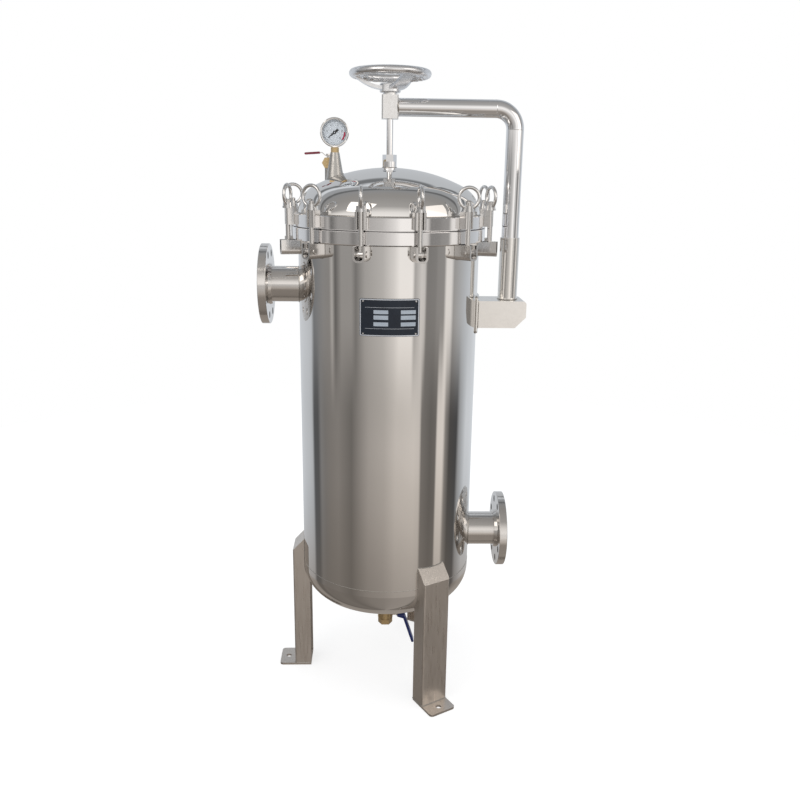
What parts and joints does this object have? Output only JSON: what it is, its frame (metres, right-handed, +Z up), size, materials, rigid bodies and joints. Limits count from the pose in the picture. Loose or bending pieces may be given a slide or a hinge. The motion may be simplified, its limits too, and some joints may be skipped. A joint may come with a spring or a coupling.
{
  "type": "bag filter housing",
  "caption": "Polished steel bag filter vessel on legs, with a domed cover held by swing bolts, a davit with a handwheel, side nozzles, a gauge and drain.",
  "frame": {"origin": "centre of the circle of anchor holes, on the floor under the vessel's axis", "axes": "+Z up along the vessel's axis, -X out of the inlet nozzle, +X out of the outlet nozzle and towards the davit"},
  "size_m": [0.665, 0.5458, 1.5823],
  "materials": {
    "polished_steel": "mirror polished stainless steel",
    "satin_steel": "satin stainless steel",
    "cast_steel": "bead blasted stainless casting",
    "brass": "plain brass",
    "rubber": "black gasket rubber",
    "navy_plate": "printed aluminium plate",
    "white_dial": "white enamel",
    "black_paint": "black enamel",
    "glass": "clear",
    "red_vinyl": "dipped vinyl",
    "blue_vinyl": "dipped vinyl",
    "felt": "needle felt"
  },
  "bodies": {
    "housing": {"shell": "polished_steel", "bottom_head": "polished_steel", "body_flange": "satin_steel", "cover_gasket": "rubber", "inlet_nozzle": "satin_steel", "outlet_nozzle": "satin_steel", "leg_1": "satin_steel", "leg_2": "satin_steel", "leg_3": "satin_steel", "bolt_brackets": "satin_steel", "davit_bracket": "satin_steel", "davit_arm": "polished_steel", "davit_block": "satin_steel", "nameplate": "navy_plate", "nameplate_rivets": "satin_steel", "drain_socket": "polished_steel", "drain_valve_body": "brass", "tube_plate": "satin_steel", "baskets": "satin_steel", "filter_bags": "felt"},
    "cover": {"cover_flange": "satin_steel", "cover_dome": "polished_steel", "cover_lugs": "satin_steel", "lifting_screw": "polished_steel", "cover_pipes": "polished_steel", "gauge_stem": "brass", "gauge_case": "polished_steel", "gauge_dial": "white_dial", "gauge_glass": "glass", "vent_valve_body": "brass"},
    "gauge_pointer": {"gauge_pointer": "black_paint"},
    "vent_lever": {"vent_lever": "satin_steel", "vent_lever_grip": "red_vinyl"},
    "handwheel": {"handwheel": "cast_steel"},
    "drain_lever": {"drain_lever": "satin_steel", "drain_lever_grip": "blue_vinyl"},
    "swing_bolt_01": {"swing_bolt_01": "satin_steel"},
    "eye_nut_01": {"eye_nut_01": "cast_steel"},
    "swing_bolt_02": {"swing_bolt_02": "satin_steel"},
    "eye_nut_02": {"eye_nut_02": "cast_steel"},
    "swing_bolt_03": {"swing_bolt_03": "satin_steel"},
    "eye_nut_03": {"eye_nut_03": "cast_steel"},
    "swing_bolt_04": {"swing_bolt_04": "satin_steel"},
    "eye_nut_04": {"eye_nut_04": "cast_steel"},
    "swing_bolt_05": {"swing_bolt_05": "satin_steel"},
    "eye_nut_05": {"eye_nut_05": "cast_steel"},
    "swing_bolt_06": {"swing_bolt_06": "satin_steel"},
    "eye_nut_06": {"eye_nut_06": "cast_steel"},
    "swing_bolt_07": {"swing_bolt_07": "satin_steel"},
    "eye_nut_07": {"eye_nut_07": "cast_steel"},
    "swing_bolt_08": {"swing_bolt_08": "satin_steel"},
    "eye_nut_08": {"eye_nut_08": "cast_steel"},
    "swing_bolt_09": {"swing_bolt_09": "satin_steel"},
    "eye_nut_09": {"eye_nut_09": "cast_steel"},
    "swing_bolt_10": {"swing_bolt_10": "satin_steel"},
    "eye_nut_10": {"eye_nut_10": "cast_steel"},
    "swing_bolt_11": {"swing_bolt_11": "satin_steel"},
    "eye_nut_11": {"eye_nut_11": "cast_steel"},
    "swing_bolt_12": {"swing_bolt_12": "satin_steel"},
    "eye_nut_12": {"eye_nut_12": "cast_steel"}
  },
  "joints": [
    {"name": "handwheel_turn", "type": "hinge", "parent": "housing", "child": "handwheel", "pos_m": [0, 0, 1.53081], "axis": [0, 0, 1], "range_deg": [0, 1350]},
    {"name": "cover_lift", "type": "slide", "parent": "housing", "child": "cover", "axis": [0, 0, 1], "range_m": [0, 0.015]},
    {"name": "bolt_swing_01", "type": "hinge", "parent": "housing", "child": "swing_bolt_01", "pos_m": [0.24341, 0.06522, 1.17], "axis": [-0.2588, 0.9659, 0], "range_deg": [0, 100]},
    {"name": "nut_travel_01", "type": "slide", "parent": "swing_bolt_01", "child": "eye_nut_01", "axis": [0, 0, 1], "range_m": [0, 0.015]},
    {"name": "bolt_swing_02", "type": "hinge", "parent": "housing", "child": "swing_bolt_02", "pos_m": [0.17819, 0.17819, 1.17], "axis": [-0.7071, 0.7071, 0], "range_deg": [0, 100]},
    {"name": "nut_travel_02", "type": "slide", "parent": "swing_bolt_02", "child": "eye_nut_02", "axis": [0, 0, 1], "range_m": [0, 0.015]},
    {"name": "bolt_swing_03", "type": "hinge", "parent": "housing", "child": "swing_bolt_03", "pos_m": [0.06522, 0.24341, 1.17], "axis": [-0.9659, 0.2588, 0], "range_deg": [0, 100]},
    {"name": "nut_travel_03", "type": "slide", "parent": "swing_bolt_03", "child": "eye_nut_03", "axis": [0, 0, 1], "range_m": [0, 0.015]},
    {"name": "bolt_swing_04", "type": "hinge", "parent": "housing", "child": "swing_bolt_04", "pos_m": [-0.06522, 0.24341, 1.17], "axis": [-0.9659, -0.2588, 0], "range_deg": [0, 100]},
    {"name": "nut_travel_04", "type": "slide", "parent": "swing_bolt_04", "child": "eye_nut_04", "axis": [0, 0, 1], "range_m": [0, 0.015]},
    {"name": "bolt_swing_05", "type": "hinge", "parent": "housing", "child": "swing_bolt_05", "pos_m": [-0.17819, 0.17819, 1.17], "axis": [-0.7071, -0.7071, 0], "range_deg": [0, 100]},
    {"name": "nut_travel_05", "type": "slide", "parent": "swing_bolt_05", "child": "eye_nut_05", "axis": [0, 0, 1], "range_m": [0, 0.015]},
    {"name": "bolt_swing_06", "type": "hinge", "parent": "housing", "child": "swing_bolt_06", "pos_m": [-0.24341, 0.06522, 1.17], "axis": [-0.2588, -0.9659, 0], "range_deg": [0, 100]},
    {"name": "nut_travel_06", "type": "slide", "parent": "swing_bolt_06", "child": "eye_nut_06", "axis": [0, 0, 1], "range_m": [0, 0.015]},
    {"name": "bolt_swing_07", "type": "hinge", "parent": "housing", "child": "swing_bolt_07", "pos_m": [-0.24341, -0.06522, 1.17], "axis": [0.2588, -0.9659, 0], "range_deg": [0, 100]},
    {"name": "nut_travel_07", "type": "slide", "parent": "swing_bolt_07", "child": "eye_nut_07", "axis": [0, 0, 1], "range_m": [0, 0.015]},
    {"name": "bolt_swing_08", "type": "hinge", "parent": "housing", "child": "swing_bolt_08", "pos_m": [-0.17819, -0.17819, 1.17], "axis": [0.7071, -0.7071, 0], "range_deg": [0, 100]},
    {"name": "nut_travel_08", "type": "slide", "parent": "swing_bolt_08", "child": "eye_nut_08", "axis": [0, 0, 1], "range_m": [0, 0.015]},
    {"name": "bolt_swing_09", "type": "hinge", "parent": "housing", "child": "swing_bolt_09", "pos_m": [-0.06522, -0.24341, 1.17], "axis": [0.9659, -0.2588, 0], "range_deg": [0, 100]},
    {"name": "nut_travel_09", "type": "slide", "parent": "swing_bolt_09", "child": "eye_nut_09", "axis": [0, 0, 1], "range_m": [0, 0.015]},
    {"name": "bolt_swing_10", "type": "hinge", "parent": "housing", "child": "swing_bolt_10", "pos_m": [0.06522, -0.24341, 1.17], "axis": [0.9659, 0.2588, 0], "range_deg": [0, 100]},
    {"name": "nut_travel_10", "type": "slide", "parent": "swing_bolt_10", "child": "eye_nut_10", "axis": [0, 0, 1], "range_m": [0, 0.015]},
    {"name": "bolt_swing_11", "type": "hinge", "parent": "housing", "child": "swing_bolt_11", "pos_m": [0.17819, -0.17819, 1.17], "axis": [0.7071, 0.7071, 0], "range_deg": [0, 100]},
    {"name": "nut_travel_11", "type": "slide", "parent": "swing_bolt_11", "child": "eye_nut_11", "axis": [0, 0, 1], "range_m": [0, 0.015]},
    {"name": "bolt_swing_12", "type": "hinge", "parent": "housing", "child": "swing_bolt_12", "pos_m": [0.24341, -0.06522, 1.17], "axis": [0.2588, 0.9659, 0], "range_deg": [0, 100]},
    {"name": "nut_travel_12", "type": "slide", "parent": "swing_bolt_12", "child": "eye_nut_12", "axis": [0, 0, 1], "range_m": [0, 0.015]},
    {"name": "gauge_pointer_turn", "type": "hinge", "parent": "cover", "child": "gauge_pointer", "pos_m": [-0.133, -0.008, 1.43821], "axis": [0, 1, 0], "range_deg": [0, 270]},
    {"name": "vent_lever_turn", "type": "hinge", "parent": "cover", "child": "vent_lever", "pos_m": [-0.152, 0.045, 1.36821], "axis": [0, 0, 1], "range_deg": [-90, 0]},
    {"name": "drain_lever_turn", "type": "hinge", "parent": "housing", "child": "drain_lever", "pos_m": [0, 0, 0.14419], "axis": [1, 0, 0], "range_deg": [0, 90]}
  ],
  "couplings": [
    {"joint": "cover_lift", "follows": "handwheel_turn", "m_per_rad": 0.00063662},
    {"joint": "nut_travel_01", "follows": "handwheel_turn", "m_per_rad": 0.00063662},
    {"joint": "nut_travel_02", "follows": "handwheel_turn", "m_per_rad": 0.00063662},
    {"joint": "nut_travel_03", "follows": "handwheel_turn", "m_per_rad": 0.00063662},
    {"joint": "nut_travel_04", "follows": "handwheel_turn", "m_per_rad": 0.00063662},
    {"joint": "nut_travel_05", "follows": "handwheel_turn", "m_per_rad": 0.00063662},
    {"joint": "nut_travel_06", "follows": "handwheel_turn", "m_per_rad": 0.00063662},
    {"joint": "nut_travel_07", "follows": "handwheel_turn", "m_per_rad": 0.00063662},
    {"joint": "nut_travel_08", "follows": "handwheel_turn", "m_per_rad": 0.00063662},
    {"joint": "nut_travel_09", "follows": "handwheel_turn", "m_per_rad": 0.00063662},
    {"joint": "nut_travel_10", "follows": "handwheel_turn", "m_per_rad": 0.00063662},
    {"joint": "nut_travel_11", "follows": "handwheel_turn", "m_per_rad": 0.00063662},
    {"joint": "nut_travel_12", "follows": "handwheel_turn", "m_per_rad": 0.00063662}
  ]
}
